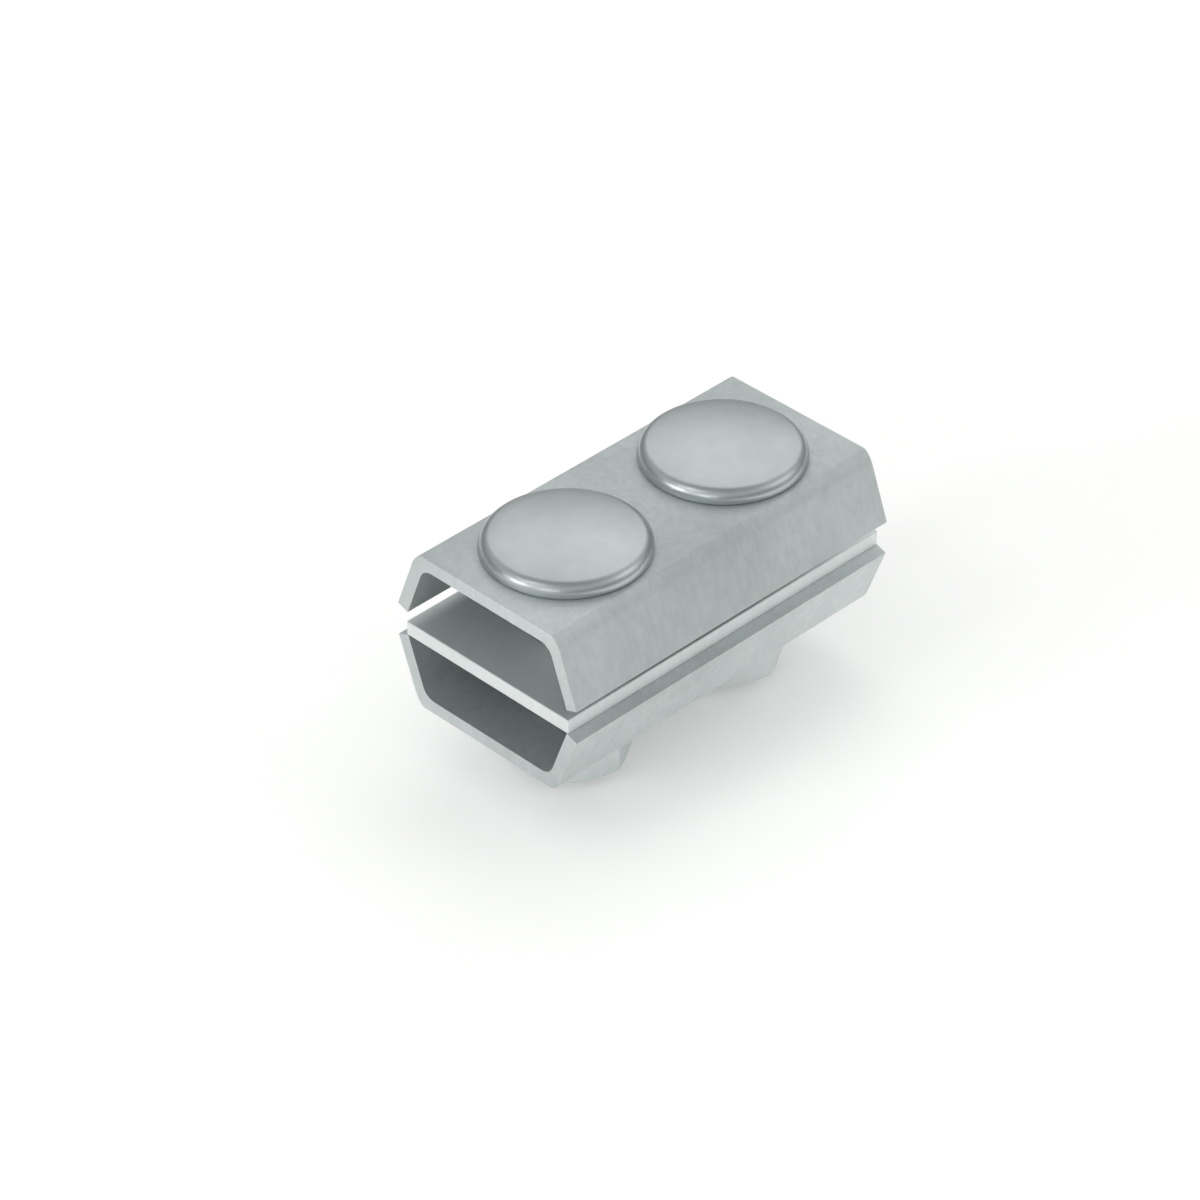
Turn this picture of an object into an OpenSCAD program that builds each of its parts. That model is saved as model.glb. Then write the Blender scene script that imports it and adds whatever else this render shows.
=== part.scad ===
// Parallel connector: two bent channels and a flat plate, clamped by two carriage bolts and nuts.
// X runs along the clamped conductors. Z points up, and z = 0 is the plane of the bolts' ends.

/* [Channels] */
// Length of the channels and the plate
body_l = 60; // [56:1:80]
// Width of a channel across its leg tips
channel_w = 34; // [33:0.5:40]
// Height of a channel from its back to its leg tips
channel_h = 10.8; // [10.4:0.1:11.2]
// Lean of the legs away from the vertical, in degrees
leg_lean = 20.4; // [16:0.4:22.8]
// Thickness of the channel sheet
sheet_t = 2; // [1.5:0.1:2.2]
// Outside radius of the pressed bends
bend_out_r = 2; // [1.5:0.1:2.4]
// Inside radius of the pressed bends
bend_in_r = 2.2; // [1.5:0.1:2.6]

/* [Plate] */
// How far the plate's edges stand back from the leg tips
plate_inset = 1.6; // [1.2:0.1:1.8]
// Thickness of the intermediate plate
plate_t = 2.2; // [2:0.1:2.5]
// Gap between the plate and the legs of the upper channel
open_gap = 1.6; // [1:0.1:2]

/* [Bolts] */
// Distance from a bolt's axis to the nearest end of the channels
bolt_end = 15; // [13:0.5:16]
// Diameter of the threaded shank
shank_d = 9.9; // [9.7:0.05:9.95]
// Length of a bolt below its head
bolt_l = 35; // [35:1:45]
// Bevel at the end of the shank
end_bevel = 0.8; // [0.4:0.1:1.2]
// Diameter of the bolt head
head_d = 23.5; // [22:0.5:24.5]
// Height of the bolt head
head_h = 3; // [2.7:0.1:3.6]
// Radius of the rounded edge on top of the head
head_edge_r = 1.7; // [1.3:0.1:1.9]
// Height at which the head is widest
head_land_h = 0.5; // [0.4:0.05:0.6]
// Radius of the edge under the head
head_foot_r = 0.3; // [0.2:0.05:0.35]
// Width of the square neck across its flats
neck_w = 10; // [9.95:0.05:10.2]
// Depth of the square neck below the head
neck_h = 5; // [4:0.5:6]

/* [Nuts] */
// Width of the nuts across their flats
nut_w = 17; // [16:1:18]
// Height of the nuts
nut_h = 8; // [7:0.2:8.4]
// Slope of the bevel on the nuts' corners, in degrees
nut_bevel = 30; // [20:1:35]
// Depth of the countersinks around a nut's bore
nut_sink = 0.7; // [0.3:0.1:1]
// Turn of the nuts about their bolts, in degrees
nut_turn = 1; // [0:1:59]

/* [Fits] */
// Radial clearance between a nut's thread crests and the shank
nut_clear = 0.05; // [0.02:0.01:0.1]
// Clearance between the square neck and each side of its hole
neck_clear = 0.3; // [0.2:0.05:0.5]
// Corner radius of the square holes
hole_corner_r = 0.8; // [0.5:0.1:1.5]
// Radial clearance between the shank and the holes of the plate
plate_clear = 0.55; // [0.3:0.05:1]

/* [Hidden] */
$fn = 96;

steel = "#B4BABA";
steel_plate = "#ABB1B1";
steel_bolt = "#A9B0B3";
steel_nut = "#9AA2A2";

// heights of the stack, counted up from the bolts' ends
seat_z = bolt_l;
upper_tip_z = seat_z - channel_h;
plate_z = upper_tip_z - open_gap - plate_t;
lower_back_z = plate_z - channel_h;
nut_z = lower_back_z - nut_h;

// the bent section: the back ends where the bend starts, and the leg runs on from the bend
bend_turn = 90 - leg_lean;
leg_out_z = channel_h - sheet_t * sin(leg_lean);
leg_out_y = channel_w / 2 - leg_out_z * tan(leg_lean);
back_out = leg_out_y - bend_out_r * tan(bend_turn / 2);
back_in = leg_out_y - (sheet_t + bend_in_r) * tan(bend_turn / 2);
leg_l = (leg_out_z - bend_out_r * (1 - sin(leg_lean))) / cos(leg_lean);
// deep enough to reach through the sheet, also in its bends
form_depth = 2 * sheet_t + bend_in_r;
plate_w = channel_w - 2 * plate_inset;

// the head: a shallow dome that runs smoothly into its rounded edge
edge_y = head_d / 2 - head_edge_r;
dome_rise = head_h - head_land_h;
dome_r = (edge_y ^ 2 + dome_rise ^ 2 - head_edge_r ^ 2) / (2 * (dome_rise - head_edge_r));
dome_z = head_h - dome_r;
dome_end = dome_r * edge_y / (dome_r - head_edge_r);

hole_w = neck_w + 2 * neck_clear;
bore_r = shank_d / 2 + nut_clear;
// a nut's end face is a circle a little smaller than its flats
nut_face_r = 0.475 * nut_w;
bolt_pitch = body_l - 2 * bolt_end;
// how far a cut runs past the surface it opens
over = 1;
far = 2 * body_l;

// a square hole with rounded corners, punched through a channel's back
module square_hole() {
    flat = hole_w / 2 - hole_corner_r;
    linear_extrude(far, center = true) {
        square([hole_w, 2 * flat], center = true);
        square([2 * flat, hole_w], center = true);
        for (x = [-flat, flat], y = [-flat, flat])
            translate([x, y]) circle(hole_corner_r);
    }
}

// the area under a bent line: half of its back, one bend and one leg, and their mirror image
module bent_area(bend_start, bend_r, leg, depth) {
    for (side = [0, 1]) mirror([side, 0]) translate([bend_start, -bend_r]) {
        circle(bend_r);
        translate([-bend_start - over, bend_r - depth]) square([bend_start + over, depth]);
        rotate(-bend_turn) translate([0, bend_r - depth]) square([leg, depth]);
    }
}

// the bent section of a channel, with the back's outer face on y = 0
module section() {
    difference() {
        bent_area(back_out, bend_out_r, leg_l, form_depth);
        translate([0, -sheet_t])
            bent_area(back_in, bend_in_r, leg_l + form_depth, 2 * form_depth);
    }
}

// a channel with its legs pointing down and its back's outer face on z = 0
module channel() {
    difference() {
        rotate([90, 0, 90]) linear_extrude(body_l, center = true) section();
        for (x = [-1, 1]) translate([x * bolt_pitch / 2, 0, 0]) square_hole();
    }
}

// half of the head's outline, turned about the bolt's axis
module head_outline() {
    intersection() {
        translate([0, dome_z]) circle(dome_r, $fn = 360);
        square([dome_end, head_h]);
    }
    translate([edge_y, head_land_h]) intersection() {
        circle(head_edge_r);
        square(head_edge_r);
    }
    translate([0, head_foot_r]) square([head_d / 2, head_land_h - head_foot_r]);
    square([head_d / 2 - head_foot_r, head_foot_r]);
    translate([head_d / 2 - head_foot_r, head_foot_r]) circle(head_foot_r);
}

// the square neck, with its lower corners turned down to the shank
module neck() {
    half_diagonal = neck_w / sqrt(2);
    intersection() {
        translate([-neck_w / 2, -neck_w / 2, -neck_h]) cube([neck_w, neck_w, neck_h + head_foot_r]);
        translate([0, 0, -neck_h]) {
            cylinder(h = half_diagonal - shank_d / 2, r1 = shank_d / 2, r2 = half_diagonal);
            translate([0, 0, half_diagonal - shank_d / 2])
                cylinder(h = neck_h, r = half_diagonal);
        }
    }
}

// a carriage bolt with the underside of its head on z = 0
module bolt() {
    rotate_extrude() head_outline();
    neck();
    translate([0, 0, end_bevel - bolt_l]) cylinder(h = bolt_l - end_bevel, d = shank_d);
    translate([0, 0, -bolt_l]) cylinder(h = end_bevel, d1 = shank_d - 2 * end_bevel, d2 = shank_d);
}

// a hexagon nut standing on z = 0, bevelled at both ends and countersunk around its bore
module nut() {
    corner_r = nut_w / sqrt(3);
    wide_r = corner_r + over;
    bevel_h = (wide_r - nut_face_r) * tan(nut_bevel);
    intersection() {
        rotate(30) cylinder(h = nut_h, r = corner_r, $fn = 6);
        rotate_extrude() polygon([
            [bore_r, nut_sink], [bore_r + nut_sink, 0], [nut_face_r, 0], [wide_r, bevel_h],
            [wide_r, nut_h - bevel_h], [nut_face_r, nut_h], [bore_r + nut_sink, nut_h],
            [bore_r, nut_h - nut_sink]
        ]);
    }
}

module upper_channel() {
    color(steel) translate([0, 0, seat_z]) channel();
}

module intermediate_plate() {
    color(steel_plate) difference() {
        translate([-body_l / 2, -plate_w / 2, plate_z]) cube([body_l, plate_w, plate_t]);
        for (x = [-1, 1]) translate([x * bolt_pitch / 2, 0, plate_z - over])
            cylinder(h = plate_t + 2 * over, d = shank_d + 2 * plate_clear);
    }
}

module lower_channel() {
    color(steel) translate([0, 0, lower_back_z]) mirror([0, 0, 1]) channel();
}

module bolt_near() {
    color(steel_bolt) translate([-bolt_pitch / 2, 0, seat_z]) bolt();
}

module bolt_far() {
    color(steel_bolt) translate([bolt_pitch / 2, 0, seat_z]) bolt();
}

module nut_near() {
    color(steel_nut) translate([-bolt_pitch / 2, 0, nut_z]) rotate(nut_turn) nut();
}

module nut_far() {
    color(steel_nut) translate([bolt_pitch / 2, 0, nut_z]) rotate(nut_turn) nut();
}

upper_channel();
intermediate_plate();
lower_channel();
bolt_near();
bolt_far();
nut_near();
nut_far();
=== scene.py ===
import bmesh
import bpy
import math
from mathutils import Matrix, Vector


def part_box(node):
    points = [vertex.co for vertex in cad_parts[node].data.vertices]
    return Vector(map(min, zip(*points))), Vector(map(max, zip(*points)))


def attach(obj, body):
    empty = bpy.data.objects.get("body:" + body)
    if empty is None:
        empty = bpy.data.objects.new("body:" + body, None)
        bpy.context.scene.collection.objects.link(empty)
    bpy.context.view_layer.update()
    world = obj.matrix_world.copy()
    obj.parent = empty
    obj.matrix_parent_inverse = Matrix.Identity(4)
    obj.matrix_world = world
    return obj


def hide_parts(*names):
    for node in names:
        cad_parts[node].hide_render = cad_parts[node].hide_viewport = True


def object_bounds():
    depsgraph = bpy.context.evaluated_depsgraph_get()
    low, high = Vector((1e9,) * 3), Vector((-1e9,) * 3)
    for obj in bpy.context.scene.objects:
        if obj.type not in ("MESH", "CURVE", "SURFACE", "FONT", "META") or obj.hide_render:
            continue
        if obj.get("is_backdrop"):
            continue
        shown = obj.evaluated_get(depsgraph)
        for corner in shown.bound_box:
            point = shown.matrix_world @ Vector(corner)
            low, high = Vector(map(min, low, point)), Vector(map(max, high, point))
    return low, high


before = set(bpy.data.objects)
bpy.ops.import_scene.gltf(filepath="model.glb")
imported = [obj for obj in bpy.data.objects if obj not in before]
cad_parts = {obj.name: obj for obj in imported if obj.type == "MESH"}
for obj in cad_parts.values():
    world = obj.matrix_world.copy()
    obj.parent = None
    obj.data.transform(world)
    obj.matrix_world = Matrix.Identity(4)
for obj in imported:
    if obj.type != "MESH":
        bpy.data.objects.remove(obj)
cadLow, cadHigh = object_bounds()
mm = 0.001
print("frame loaded, size in mm", [round(v / mm, 2) for v in cadHigh - cadLow])

# what all the pieces share
shared = {
    "mergeGap": 0.001 * mm,  # points closer than this become one
    "flatAngle": math.radians(0.4),  # faces that turn by less become one flat face
    "smoothAngle": math.radians(30),  # edges that turn by less are shaded smooth
    "roundSegments": 3,
    "turnedSides": 96,  # sides of a turned tool, as many as the CAD model's circles have
    "overcut": 1.0 * mm,  # how far a cutter runs past what it cuts
    "facing": 0.9,  # a face whose normal has this much of a direction looks that way
}


# helpers for working on one piece at a time


def activate(piece):
    if bpy.context.mode != "OBJECT":
        bpy.ops.object.mode_set(mode="OBJECT")
    bpy.ops.object.select_all(action="DESELECT")
    piece.select_set(True)
    bpy.context.view_layer.objects.active = piece


def editMesh(piece, selectMode="EDGE"):
    # opens a piece in edit mode with nothing selected
    activate(piece)
    bpy.ops.object.mode_set(mode="EDIT")
    bpy.ops.mesh.select_mode(type=selectMode)
    bpy.ops.mesh.select_all(action="DESELECT")


def selectFaces(piece, test):
    # selects the faces whose centre and normal pass the test
    mesh = bmesh.from_edit_mesh(piece.data)
    for face in mesh.faces:
        face.select_set(test(face.calc_center_median(), face.normal))
    bmesh.update_edit_mesh(piece.data)


def selectCorners(piece, test):
    # selects the corner points whose place passes the test
    mesh = bmesh.from_edit_mesh(piece.data)
    for corner in mesh.verts:
        corner.select_set(test(corner.co))
    mesh.select_flush(True)
    bmesh.update_edit_mesh(piece.data)


def selectOpenRim(piece, test):
    # selects the edges with a face on one side only whose middle passes the test
    mesh = bmesh.from_edit_mesh(piece.data)
    for edge in mesh.edges:
        middle = (edge.verts[0].co + edge.verts[1].co) / 2
        edge.select_set(edge.is_boundary and test(middle))
    bmesh.update_edit_mesh(piece.data)


def newPiece(name):
    # names the primitive just added, and puts its place into its mesh
    piece = bpy.context.active_object
    piece.name = name
    piece.data.name = name
    activate(piece)
    bpy.ops.object.transform_apply(location=True, rotation=True, scale=True)
    return piece


def mergedCopy(nodeName, name):
    # a copy of a CAD node, with its loose triangles joined and its flat faces made whole
    piece = bpy.data.objects.new(name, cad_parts[nodeName].data.copy())
    bpy.context.scene.collection.objects.link(piece)
    editMesh(piece)
    bpy.ops.mesh.select_all(action="SELECT")
    bpy.ops.mesh.remove_doubles(threshold=shared["mergeGap"])
    bpy.ops.mesh.customdata_custom_splitnormals_clear()
    bpy.ops.mesh.dissolve_limited(angle_limit=shared["flatAngle"])
    bpy.ops.object.mode_set(mode="OBJECT")
    return piece


def moveMesh(piece, shift):
    editMesh(piece)
    bpy.ops.mesh.select_all(action="SELECT")
    bpy.ops.transform.translate(value=shift)
    bpy.ops.object.mode_set(mode="OBJECT")


def copyOf(piece, name, shift):
    # a second piece with a mesh of its own
    twin = piece.copy()
    twin.data = piece.data.copy()
    twin.name = name
    twin.data.name = name
    bpy.context.scene.collection.objects.link(twin)
    moveMesh(twin, shift)
    return twin


def cutWith(piece, tool, operation):
    # a Boolean with a tool that is thrown away afterwards
    activate(piece)
    cut = piece.modifiers.new("cut", "BOOLEAN")
    cut.object = tool
    cut.operation = operation
    cut.solver = "EXACT"
    bpy.ops.object.modifier_apply(modifier=cut.name)
    bpy.data.objects.remove(tool)


def roundEdges(piece, width, sharperThan):
    # a small rounding on every edge that turns by more than the given angle
    activate(piece)
    bpy.ops.object.shade_smooth_by_angle(angle=shared["smoothAngle"])
    rounding = piece.modifiers.new("rounding", "BEVEL")
    rounding.width = width
    rounding.segments = shared["roundSegments"]
    rounding.limit_method = "ANGLE"
    rounding.angle_limit = sharperThan
    rounding.harden_normals = True
    bpy.ops.object.modifier_apply(modifier=rounding.name)


# colours and nodes for the materials


def linear(hexColour):
    # the linear light values of a colour written as #rrggbb
    values = [int(hexColour[i:i + 2], 16) / 255 for i in (1, 3, 5)]
    return [*(v / 12.92 if v <= 0.04045 else ((v + 0.055) / 1.055) ** 2.4 for v in values), 1]


def addNode(tree, kind, inputs=None, **settings):
    # a node with its settings, whose inputs are set to values or linked to other nodes' outputs
    node = tree.nodes.new(kind)
    for name, value in settings.items():
        setattr(node, name, value)
    for name, value in (inputs or {}).items():
        if isinstance(value, bpy.types.NodeSocket):
            tree.links.new(value, node.inputs[name])
        else:
            node.inputs[name].default_value = value
    return node


# what every galvanised finish has; a look holds the rest, with its pattern sizes in millimetres
zinc = {
    "usualLow": 0.3,  # a noise seldom falls below this or rises above the next
    "usualHigh": 0.7,
    "dentDepth": 0.1 * mm,
    "grainDepth": 0.02 * mm,
    "grainSize": 0.22,  # the real grain is finer, and this is as coarse as it needs to show
}


def galvanised(name, look):
    # hot-dip zinc: the eye gets a pale satin grey with soft clouds, faint streaks and a fine grain
    material = bpy.data.materials.new(name)
    material.use_nodes = True
    tree = material.node_tree
    shader = tree.nodes["Principled BSDF"]
    place = addNode(tree, "ShaderNodeTexCoord").outputs["Object"]
    inMm = addNode(tree, "ShaderNodeMapping", {"Vector": place, "Scale": (1 / mm, 1 / mm, 1 / mm)})
    inMm = inMm.outputs["Vector"]
    along = addNode(tree, "ShaderNodeMapping", {"Vector": inMm, "Scale": look["streakScale"]})
    clouds = addNode(tree, "ShaderNodeTexNoise", {"Vector": inMm, "Scale": 1 / look["cloudSize"],
                                                  "Detail": 3.0, "Roughness": 0.55})
    streaks = addNode(tree, "ShaderNodeTexNoise", {"Vector": along.outputs["Vector"], "Scale": 1.0,
                                                   "Detail": 4.0, "Roughness": 0.6})
    spangle = addNode(tree, "ShaderNodeTexVoronoi", {"Vector": inMm, "Scale": 1 / look["spangleSize"]})
    grain = addNode(tree, "ShaderNodeTexNoise", {"Vector": inMm, "Scale": 1 / zinc["grainSize"],
                                                 "Detail": 2.0})
    cloudAndStreak = addNode(tree, "ShaderNodeMix", {"Factor": look["streakShare"],
                                                     "A": clouds.outputs["Fac"],
                                                     "B": streaks.outputs["Fac"]})
    spangleGrey = addNode(tree, "ShaderNodeSeparateColor", {"Color": spangle.outputs["Color"]})
    fine = addNode(tree, "ShaderNodeMix", {"Factor": look["spangleShare"],
                                           "A": cloudAndStreak.outputs["Result"],
                                           "B": spangleGrey.outputs["Red"]})
    patches = addNode(tree, "ShaderNodeTexNoise", {"Vector": inMm, "Scale": 1 / look["patchSize"],
                                                   "Detail": 1.0})
    tone = addNode(tree, "ShaderNodeMix", {"Factor": look["patchShare"],
                                           "A": fine.outputs["Result"], "B": patches.outputs["Fac"]})
    colour = addNode(tree, "ShaderNodeMapRange", {"Value": tone.outputs["Result"],
                                                  "From Min": zinc["usualLow"],
                                                  "From Max": zinc["usualHigh"]})
    blend = addNode(tree, "ShaderNodeMix", {"Factor": colour.outputs["Result"],
                                            "A": linear(look["dark"]), "B": linear(look["pale"])},
                    data_type="RGBA")
    tree.links.new(blend.outputs["Result"], shader.inputs["Base Color"])
    rough = addNode(tree, "ShaderNodeMapRange", {"Value": tone.outputs["Result"],
                                                 "From Min": zinc["usualLow"],
                                                 "From Max": zinc["usualHigh"],
                                                 "To Min": look["roughDark"],
                                                 "To Max": look["roughPale"]})
    tree.links.new(rough.outputs["Result"], shader.inputs["Roughness"])
    dents = addNode(tree, "ShaderNodeBump", {"Height": clouds.outputs["Fac"],
                                             "Strength": look["dentStrength"],
                                             "Distance": zinc["dentDepth"]})
    grainBump = addNode(tree, "ShaderNodeBump", {"Height": grain.outputs["Fac"],
                                                 "Strength": look["grainStrength"],
                                                 "Distance": zinc["grainDepth"],
                                                 "Normal": dents.outputs["Normal"]})
    tree.links.new(grainBump.outputs["Normal"], shader.inputs["Normal"])
    shader.inputs["Metallic"].default_value = 1.0
    return material


def finish(piece, material, slotName, bodyName, *nodeNames):
    # gives a piece its finish and its place in the frame
    piece.data.materials.clear()
    piece.data.materials.append(material)
    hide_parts(*nodeNames)
    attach(piece, bodyName)


# the two bent channels and the flat plate

sheetParts = {
    "edgeRound": 0.22 * mm,
    "edgeAngle": math.radians(33),  # above the steps of the bends and below their crease
    "sheet": 2.0 * mm,
    "lean": math.radians(20.4),
    "roundRadius": 2.0 * mm,  # the bend in the CAD model
    "creasedRadius": 4.2 * mm,  # the curve between the crease and the leg
    "bendPlay": 0.005 * mm,  # a point this near the old bend is on it
    "anglePlay": 0.01,  # the same for its angle, in radians
    "look": {
        "pale": "#E0E5E5",
        "dark": "#C2C8C8",
        "patchSize": 30.0,
        "patchShare": 0.5,
        "cloudSize": 9.0,
        "streakScale": (1.1, 1.1, 0.06),
        "streakShare": 0.55,
        "spangleSize": 1.6,
        "spangleShare": 0.1,
        "roughPale": 0.57,
        "roughDark": 0.65,
        "dentStrength": 0.25,
        "grainStrength": 0.25,
    },
    # the plate's tones are paler than the channels': painted light that lifts the plate where it lies in
    # shade between the channels
    "plateShadeLiftTones": {"pale": "#F0F3F3", "dark": "#E2E6E6"},
}

sheetZinc = galvanised("galvanised sheet steel", sheetParts["look"])
plateZincShadeLift = galvanised("galvanised flat plate", {**sheetParts["look"], **sheetParts["plateShadeLiftTones"]})


def creaseBends(piece, nodeName, up):
    # the flat back runs on to a crease, and a wider curve leads from there down to the leg;
    # up is 1 where the back is on top and -1 where it is below
    low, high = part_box(nodeName)
    lean = sheetParts["lean"]
    oldRadius, newRadius = sheetParts["roundRadius"], sheetParts["creasedRadius"]
    turn = math.pi / 2 - lean
    backZ = high.z if up > 0 else low.z
    legDepth = high.z - low.z - sheetParts["sheet"] * math.sin(lean)
    cornerY = high.y - legDepth * math.tan(lean)
    oldY = cornerY - oldRadius * math.tan(turn / 2)
    # the new curve starts halfway through the turn and touches the leg this far from the corner
    reach = newRadius * (math.cos(turn / 2) - math.sin(lean)) / math.cos(lean)
    newY = cornerY + reach * math.sin(lean) - newRadius * math.cos(lean)
    newDepth = reach * math.cos(lean) + newRadius * math.sin(lean)

    def angleOn(at):
        # the angle of a point round the old bend, or None if it isn't on it
        out, depth = abs(at.y) - oldY, (backZ - at.z) * up
        angle = math.atan2(out, oldRadius - depth)
        isOn = abs(math.hypot(out, oldRadius - depth) - oldRadius) < sheetParts["bendPlay"]
        isTurned = sheetParts["anglePlay"] < angle < turn + sheetParts["anglePlay"]
        return round(angle, 3) if isOn and isTurned else None

    editMesh(piece, "VERT")
    corners = bmesh.from_edit_mesh(piece.data).verts
    angles = sorted({angleOn(corner.co) for corner in corners} - {None})
    print(piece.name, "bend rows", len(angles))
    for row, angle in enumerate(angles):
        newAngle = turn / 2 * (1 + row / (len(angles) - 1))
        outward = newY + newRadius * math.sin(newAngle) - oldY - oldRadius * math.sin(angle)
        upward = newRadius * math.cos(newAngle) - newDepth + oldRadius - oldRadius * math.cos(angle)
        for side in (-1, 1):
            bpy.ops.mesh.select_all(action="DESELECT")
            selectCorners(piece, lambda at: at.y * side > 0 and angleOn(at) == angle)
            bpy.ops.transform.translate(value=(0, side * outward, up * upward))
    bpy.ops.object.mode_set(mode="OBJECT")


for nodeName, name, material, slotName, bodyName in (
    ("upper_channel", "upperChannelSheet", sheetZinc, "galvanised_sheet", "bolted_side"),
    ("lower_channel", "lowerChannelSheet", sheetZinc, "galvanised_sheet", "sliding_side"),
    ("intermediate_plate", "middlePlate", plateZincShadeLift, "galvanised_plate", "sliding_side"),
):
    piece = mergedCopy(nodeName, name)
    if nodeName.endswith("channel"):
        creaseBends(piece, nodeName, 1 if nodeName.startswith("upper") else -1)
    roundEdges(piece, sheetParts["edgeRound"], sheetParts["edgeAngle"])
    finish(piece, material, slotName, bodyName, nodeName)
print("channels and plate done")


# the screw thread that the bolts and nuts share

thread = {
    "pitch": 1.5 * mm,
    "crestRadius": 4.95 * mm,
    "rootRadius": 4.08 * mm,
    "crestFlat": 0.19 * mm,
    "flankLean": math.radians(30),
    "stepsPerTurn": 48,
    "smoothAngle": math.radians(25),
    "spareTurns": 2,  # turns past each end, which are cut away
}


def threadedRod(name, rootRadius, crestRadius, crestFlat, low, high):
    # a long screw about the Z axis, whose first tooth starts at the height low
    flank = (crestRadius - rootRadius) * math.tan(thread["flankLean"])
    rootHalf = (thread["pitch"] - crestFlat) / 2 - flank
    # a plane is drawn together to one point, which is then pulled along one tooth
    bpy.ops.mesh.primitive_plane_add(size=mm, location=(rootRadius, 0, low))
    rod = newPiece(name)
    editMesh(rod, "VERT")
    bpy.ops.mesh.select_all(action="SELECT")
    bpy.ops.mesh.merge(type="CENTER")
    depth = crestRadius - rootRadius
    for out, up in ((0, rootHalf), (depth, flank), (0, crestFlat), (-depth, flank), (0, rootHalf)):
        bpy.ops.mesh.extrude_vertices_move(TRANSFORM_OT_translate={"value": (out, 0, up)})
    bpy.ops.object.mode_set(mode="OBJECT")
    winding = rod.modifiers.new("winding", "SCREW")
    winding.axis = "Z"
    winding.angle = math.tau
    winding.screw_offset = thread["pitch"]
    winding.iterations = math.ceil((high - low) / thread["pitch"])
    winding.steps = thread["stepsPerTurn"]
    winding.render_steps = thread["stepsPerTurn"]
    bpy.ops.object.modifier_apply(modifier=winding.name)
    editMesh(rod, "EDGE")
    bpy.ops.mesh.select_all(action="SELECT")
    bpy.ops.mesh.remove_doubles(threshold=shared["mergeGap"])
    # each open end is pulled together to one point on the axis
    spare = thread["spareTurns"] * thread["pitch"]
    for isEnd in (lambda at: at.z < low + spare, lambda at: at.z > high - spare):
        bpy.ops.mesh.select_all(action="DESELECT")
        selectOpenRim(rod, isEnd)
        bpy.ops.mesh.extrude_edges_move()
        bpy.ops.mesh.merge(type="CENTER")
    bpy.ops.mesh.select_all(action="SELECT")
    bpy.ops.mesh.normals_make_consistent(inside=False)
    bpy.ops.object.mode_set(mode="OBJECT")
    return rod


# the carriage bolts

bolt = {
    "threadLength": 26 * mm,
    "endBevel": 0.8 * mm,
    "runOut": 1.6 * mm,  # length of the cone that the thread fades into
    "coneInset": 0.05 * mm,  # how far the cone's tip stays inside the thread's root
    "edgeRound": 0.12 * mm,
    "edgeAngle": math.radians(40),
    "look": {
        "pale": "#C6CBCC",
        "dark": "#BABFC0",
        "patchSize": 20.0,
        "patchShare": 0.3,
        "cloudSize": 7.0,
        "streakScale": (0.25, 0.25, 0.25),
        "streakShare": 0.3,
        "spangleSize": 1.4,
        "spangleShare": 0.12,
        "roughPale": 0.34,
        "roughDark": 0.38,
        "dentStrength": 0.2,
        "grainStrength": 0.5,
    },
}


def boltAbove(nodeName, name):
    # the head, the square neck and the plain shank, ending in a cone inside the thread's last turns
    piece = mergedCopy(nodeName, name)
    top = thread["top"]
    editMesh(piece, "FACE")
    bpy.ops.mesh.select_all(action="SELECT")
    bpy.ops.mesh.bisect(plane_co=(0, 0, top), plane_no=(0, 0, 1), use_fill=True, clear_inner=True)
    bpy.ops.mesh.select_all(action="DESELECT")
    selectFaces(piece, lambda at, normal: at.z < top + shared["mergeGap"]
                and normal.z < -shared["facing"])
    bpy.ops.mesh.extrude_region_move(TRANSFORM_OT_translate={"value": (0, 0, -bolt["runOut"])})
    narrow = (thread["rootRadius"] - bolt["coneInset"]) / thread["crestRadius"]
    bpy.ops.transform.resize(value=(narrow, narrow, 1))
    bpy.ops.object.mode_set(mode="OBJECT")
    return piece


low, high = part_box("bolt_near")
axisNear = Vector(((low.x + high.x) / 2, (low.y + high.y) / 2, 0))
low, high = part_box("bolt_far")
axisFar = Vector(((low.x + high.x) / 2, (low.y + high.y) / 2, 0))
thread["top"] = low.z + bolt["threadLength"]
spare = thread["spareTurns"] * thread["pitch"]

boltThread = threadedRod("boltThread", thread["rootRadius"], thread["crestRadius"],
                         thread["crestFlat"], low.z - spare, thread["top"] + spare)
wide = thread["crestRadius"] + shared["overcut"]
bpy.ops.mesh.primitive_cylinder_add(vertices=shared["turnedSides"], radius=wide,
                                    depth=bolt["threadLength"],
                                    location=(0, 0, low.z + bolt["threadLength"] / 2))
endCutter = newPiece("endCutter")
editMesh(endCutter, "FACE")
selectFaces(endCutter, lambda at, normal: normal.z < -shared["facing"])
bpy.ops.mesh.bevel(offset=bolt["endBevel"] + shared["overcut"], segments=1, affect="EDGES")
bpy.ops.object.mode_set(mode="OBJECT")
cutWith(boltThread, endCutter, "INTERSECT")
moveMesh(boltThread, axisNear)

boltPiece = boltAbove("bolt_near", "carriageBoltNear")
roundEdges(boltPiece, bolt["edgeRound"], bolt["edgeAngle"])
activate(boltThread)
bpy.ops.object.shade_smooth_by_angle(angle=thread["smoothAngle"])
activate(boltPiece)
boltThread.select_set(True)
bpy.ops.object.join()

boltZinc = galvanised("galvanised bolt", bolt["look"])
boltTwin = copyOf(boltPiece, "carriageBoltFar", axisFar - axisNear)
finish(boltPiece, boltZinc, "galvanised_bolt", "bolted_side", "bolt_near")
finish(boltTwin, boltZinc, "galvanised_bolt", "bolted_side", "bolt_far")
print("bolts done, threads", round(bolt["threadLength"] / mm, 1), "mm long")


# the hexagon nuts

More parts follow.
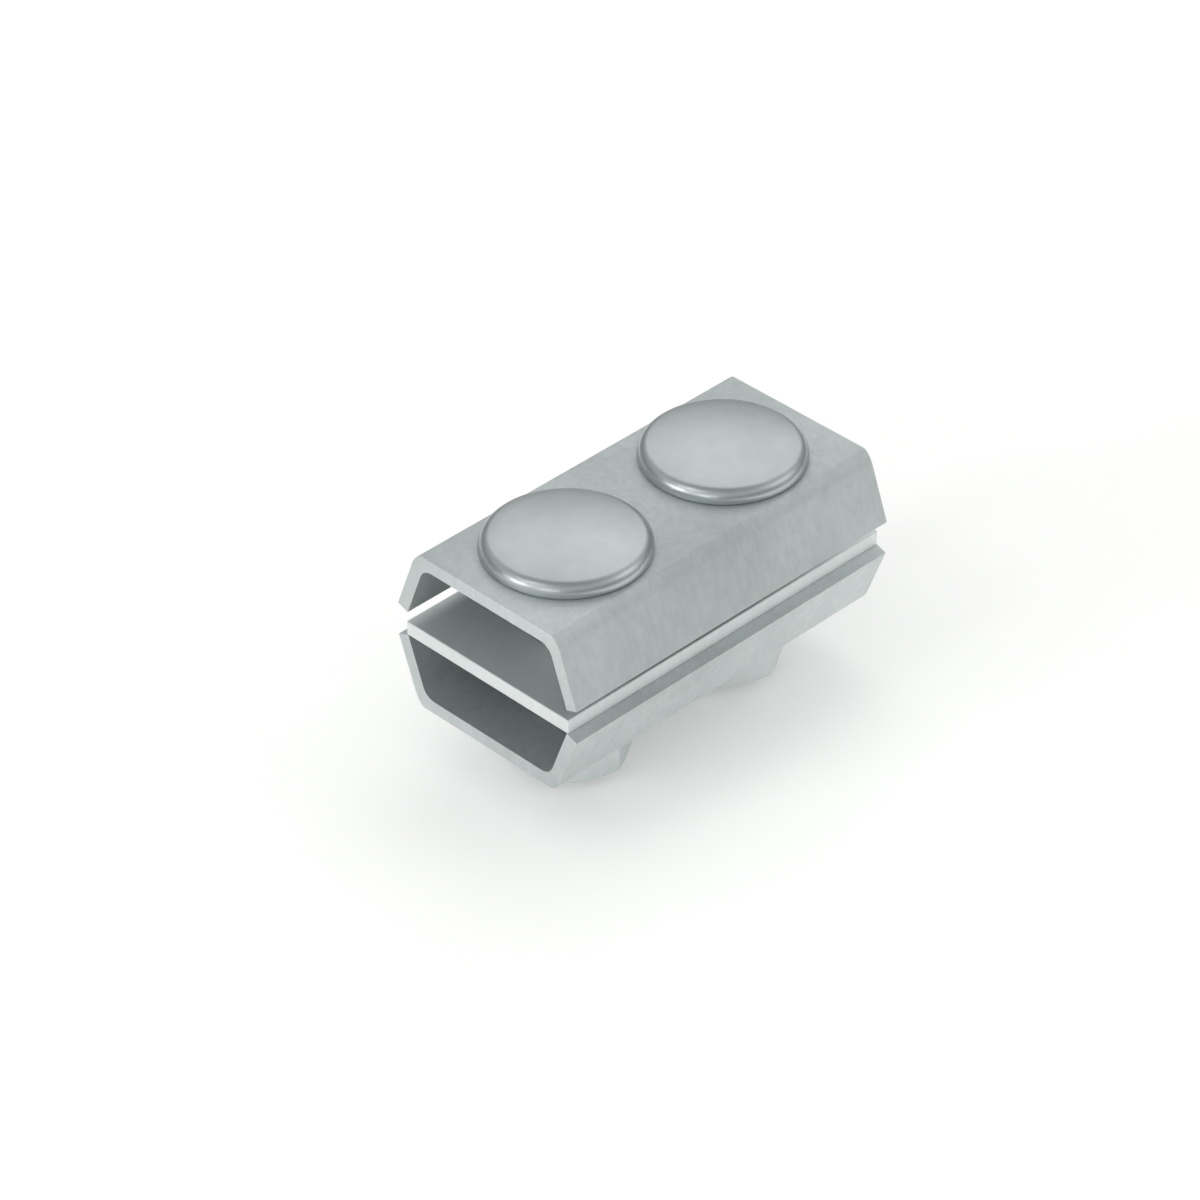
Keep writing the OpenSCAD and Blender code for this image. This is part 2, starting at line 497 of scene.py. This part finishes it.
nut = {
    "acrossFlats": 17 * mm,
    "faceShare": 0.95,  # the round end face against the width across the flats
    "bevelLean": math.radians(30),
    "turn": math.radians(1),
    "sink": 0.7 * mm,
    "crestRadius": 4.25 * mm,
    "rootRadius": 5.03 * mm,
    "groovePlay": 0.1 * mm,  # how much wider the nut's groove is than the bolt's tooth
    "edgeRound": 0.15 * mm,
    "edgeAngle": math.radians(20),
    # the nut's tones are paler than the bolt's: painted light that makes up for the floor's shade under
    # the nuts
    "look": {
        "pale": "#E6EAEA",
        "dark": "#D8DEDE",
        "patchSize": 15.0,
        "patchShare": 0.3,
        "cloudSize": 5.0,
        "streakScale": (0.3, 0.3, 0.3),
        "streakShare": 0.3,
        "spangleSize": 1.2,
        "spangleShare": 0.15,
        "roughPale": 0.52,
        "roughDark": 0.6,
        "dentStrength": 0.25,
        "grainStrength": 0.25,
    },
}


def coneEnds(name, radius, endRadius, low, high, slope):
    # a round bar with a cone at each end
    bevel = (radius - endRadius) * slope
    bpy.ops.mesh.primitive_cylinder_add(vertices=shared["turnedSides"], radius=radius,
                                        depth=high - low - 2 * bevel, location=(0, 0, (low + high) / 2))
    bar = newPiece(name)
    for side in (-1, 1):
        editMesh(bar, "FACE")
        selectFaces(bar, lambda at, normal: normal.z * side > shared["facing"])
        bpy.ops.mesh.extrude_region_move(TRANSFORM_OT_translate={"value": (0, 0, side * bevel)})
        bpy.ops.transform.resize(value=(endRadius / radius, endRadius / radius, 1))
    bpy.ops.object.mode_set(mode="OBJECT")
    return bar


nutLow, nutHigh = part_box("nut_near")
cornerRadius = nut["acrossFlats"] / math.sqrt(3)
# the primitive's first corner is on Y, and the nut's is 30 degrees from X before its small turn
bpy.ops.mesh.primitive_cylinder_add(vertices=6, radius=cornerRadius, depth=nutHigh.z - nutLow.z,
                                    location=(0, 0, (nutLow.z + nutHigh.z) / 2),
                                    rotation=(0, 0, math.radians(30) + nut["turn"] - math.pi / 2))
nutPiece = newPiece("hexagonNutNear")
cornerBevel = coneEnds("cornerBevel", cornerRadius + shared["overcut"],
                       nut["faceShare"] * nut["acrossFlats"] / 2, nutLow.z, nutHigh.z,
                       math.tan(nut["bevelLean"]))
cutWith(nutPiece, cornerBevel, "INTERSECT")
roundEdges(nutPiece, nut["edgeRound"], nut["edgeAngle"])
# a countersink at each end, from the thread's crests out past the face
inner, outer = thread["crestRadius"], thread["crestRadius"] + nut["sink"] + shared["overcut"]
for low, high, lowRadius, highRadius in (
    (nutLow.z - shared["overcut"], nutLow.z + nut["sink"], outer, inner),
    (nutHigh.z - nut["sink"], nutHigh.z + shared["overcut"], inner, outer),
):
    bpy.ops.mesh.primitive_cone_add(vertices=shared["turnedSides"], radius1=lowRadius, radius2=highRadius,
                                    depth=high - low, location=(0, 0, (low + high) / 2))
    cutWith(nutPiece, newPiece("countersink"), "DIFFERENCE")
# the nut's groove is as wide as the bolt's tooth and its play, measured at the crest
grooveFlat = (thread["crestFlat"] + nut["groovePlay"]
              - 2 * (nut["rootRadius"] - thread["crestRadius"]) * math.tan(thread["flankLean"]))
# the cutter starts where the bolt's thread does, so that the two mesh
nutThread = threadedRod("nutThread", nut["crestRadius"], nut["rootRadius"], grooveFlat,
                        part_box("bolt_near")[0].z - spare, nutHigh.z + spare)
cutWith(nutPiece, nutThread, "DIFFERENCE")
activate(nutPiece)
bpy.ops.object.shade_smooth_by_angle(angle=thread["smoothAngle"])

# the nut's finish, with tones painted paler to make up for the shade under the nuts
nutZincPaleForShade = galvanised("galvanised nut", nut["look"])
moveMesh(nutPiece, axisNear)
nutTwin = copyOf(nutPiece, "hexagonNutFar", axisFar - axisNear)
finish(nutPiece, nutZincPaleForShade, "galvanised_nut", "near_nut", "nut_near")
finish(nutTwin, nutZincPaleForShade, "galvanised_nut", "far_nut", "nut_far")
print("nuts done")


# the floor, the light and the camera

studio = {
    "floorSize": 3.0,
    "floorColour": "#F2F2F0",
    "floorRoughness": 0.9,
    "floorGloss": 0.1,
    "floorGlow": 0.2,
    # heights are the sine of the angle above the horizon
    "roomTones": ((0.0, "#848686"), (0.35, "#8E9090"), (0.6, "#DADCDC"), (1.0, "#989A9A")),
    "aim": Vector((-9.94, -1.26, 24.33)) * mm,
    "azimuth": -45.045,
    "elevation": 36.614,
    "distance": 649.5 * mm,
    "lens": 145.06,
    "sensor": 36,
    "nearest": 0.01,  # what lies nearer to the camera isn't drawn, in metres
    # each box's azimuth and elevation in degrees, its distance and size in metres, and its brightness
    "softBoxes": {
        "backBox": (128, 48, 0.9, 0.8, 0.56),  # lights the flat top and the heads
        "bendBox": (44, 32, 0.9, 0.5, 0.8),  # lights the front bend
        "keyLamp": (-100, 52, 0.8, 0.16, 4.0),  # this and the next two draw the bright lines on the rims
        "rimBoxLeft": (-106, 20, 0.9, 0.22, 8.0),
        "rimBoxMid": (-68, 20, 0.9, 0.22, 4.0),
        "floorLamp": (0, 90, 1.5, 1.6, 0.9),
    },
}

bpy.ops.mesh.primitive_plane_add(size=studio["floorSize"], location=(0, 0, cadLow.z))
floor = newPiece("studioFloor")
floorPaint = bpy.data.materials.new("pale floor")
floorPaint.use_nodes = True
floorShader = floorPaint.node_tree.nodes["Principled BSDF"]
floorShader.inputs["Base Color"].default_value = linear(studio["floorColour"])
floorShader.inputs["Roughness"].default_value = studio["floorRoughness"]
floorShader.inputs["Specular IOR Level"].default_value = studio["floorGloss"]
# seen directly or mirrored in the steel, the floor is lifted to white but keeps the shadow
tree = floorPaint.node_tree
seenBy = addNode(tree, "ShaderNodeLightPath").outputs
direct = addNode(tree, "ShaderNodeMath", {0: seenBy["Is Camera Ray"], 1: seenBy["Is Glossy Ray"]},
                 operation="MAXIMUM")
seen = addNode(tree, "ShaderNodeMath", {0: direct.outputs["Value"], 1: seenBy["Is Transmission Ray"]},
               operation="MAXIMUM")
lift = addNode(tree, "ShaderNodeMath", {0: seen.outputs["Value"], 1: studio["floorGlow"]},
               operation="MULTIPLY")
floorShader.inputs["Emission Color"].default_value = (1, 1, 1, 1)
tree.links.new(lift.outputs["Value"], floorShader.inputs["Emission Strength"])
floor.data.materials.append(floorPaint)
floor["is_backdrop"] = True

# the room is palest 37 degrees up, where the flat top mirrors it, which gives the steel its soft bands
world = bpy.data.worlds.new("studio")
bpy.context.scene.world = world
world.use_nodes = True
tree = world.node_tree
direction = addNode(tree, "ShaderNodeTexCoord").outputs["Generated"]
height = addNode(tree, "ShaderNodeSeparateXYZ", {"Vector": direction}).outputs["Z"]
ramp = addNode(tree, "ShaderNodeValToRGB", {"Fac": height})
tones = studio["roomTones"]
stops = ramp.color_ramp.elements
for position, colour in tones[1:-1]:
    stops.new(position)
for stop, (position, colour) in zip(stops, tones):
    stop.position = position
    stop.color = linear(colour)
tree.links.new(ramp.outputs["Color"], tree.nodes["Background"].inputs["Color"])

centre = (cadLow + cadHigh) / 2


def seenAt(azimuth, elevation):
    # the direction from the object to a place; azimuth 0 is in front of it and 90 beyond its X end
    turn, rise = math.radians(azimuth), math.radians(elevation)
    return Vector((math.sin(turn) * math.cos(rise), -math.cos(turn) * math.cos(rise), math.sin(rise)))


def softLight(name, azimuth, elevation, distance, size, brightness):
    # a square soft box aimed at the object
    towards = seenAt(azimuth, elevation)
    bpy.ops.object.light_add(type="AREA", location=centre + towards * distance,
                             rotation=towards.to_track_quat("Z", "Y").to_euler())
    lamp = bpy.context.active_object
    lamp.name = name
    lamp.data.size = size
    lamp.data.energy = brightness * math.pi * size ** 2
    return lamp


for name, values in studio["softBoxes"].items():
    lamp = softLight(name, *values)
    lamp.visible_glossy = name != "floorLamp"  # that one lights the floor and isn't mirrored in the steel

towards = seenAt(studio["azimuth"], studio["elevation"])
bpy.ops.object.camera_add(location=studio["aim"] + towards * studio["distance"],
                          rotation=towards.to_track_quat("Z", "Y").to_euler())
camera = bpy.context.active_object
camera.data.lens = studio["lens"]
camera.data.sensor_width = studio["sensor"]
camera.data.clip_start = studio["nearest"]
bpy.context.scene.camera = camera
bpy.context.scene.view_settings.view_transform = "Standard"
print("studio done")

low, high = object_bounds()
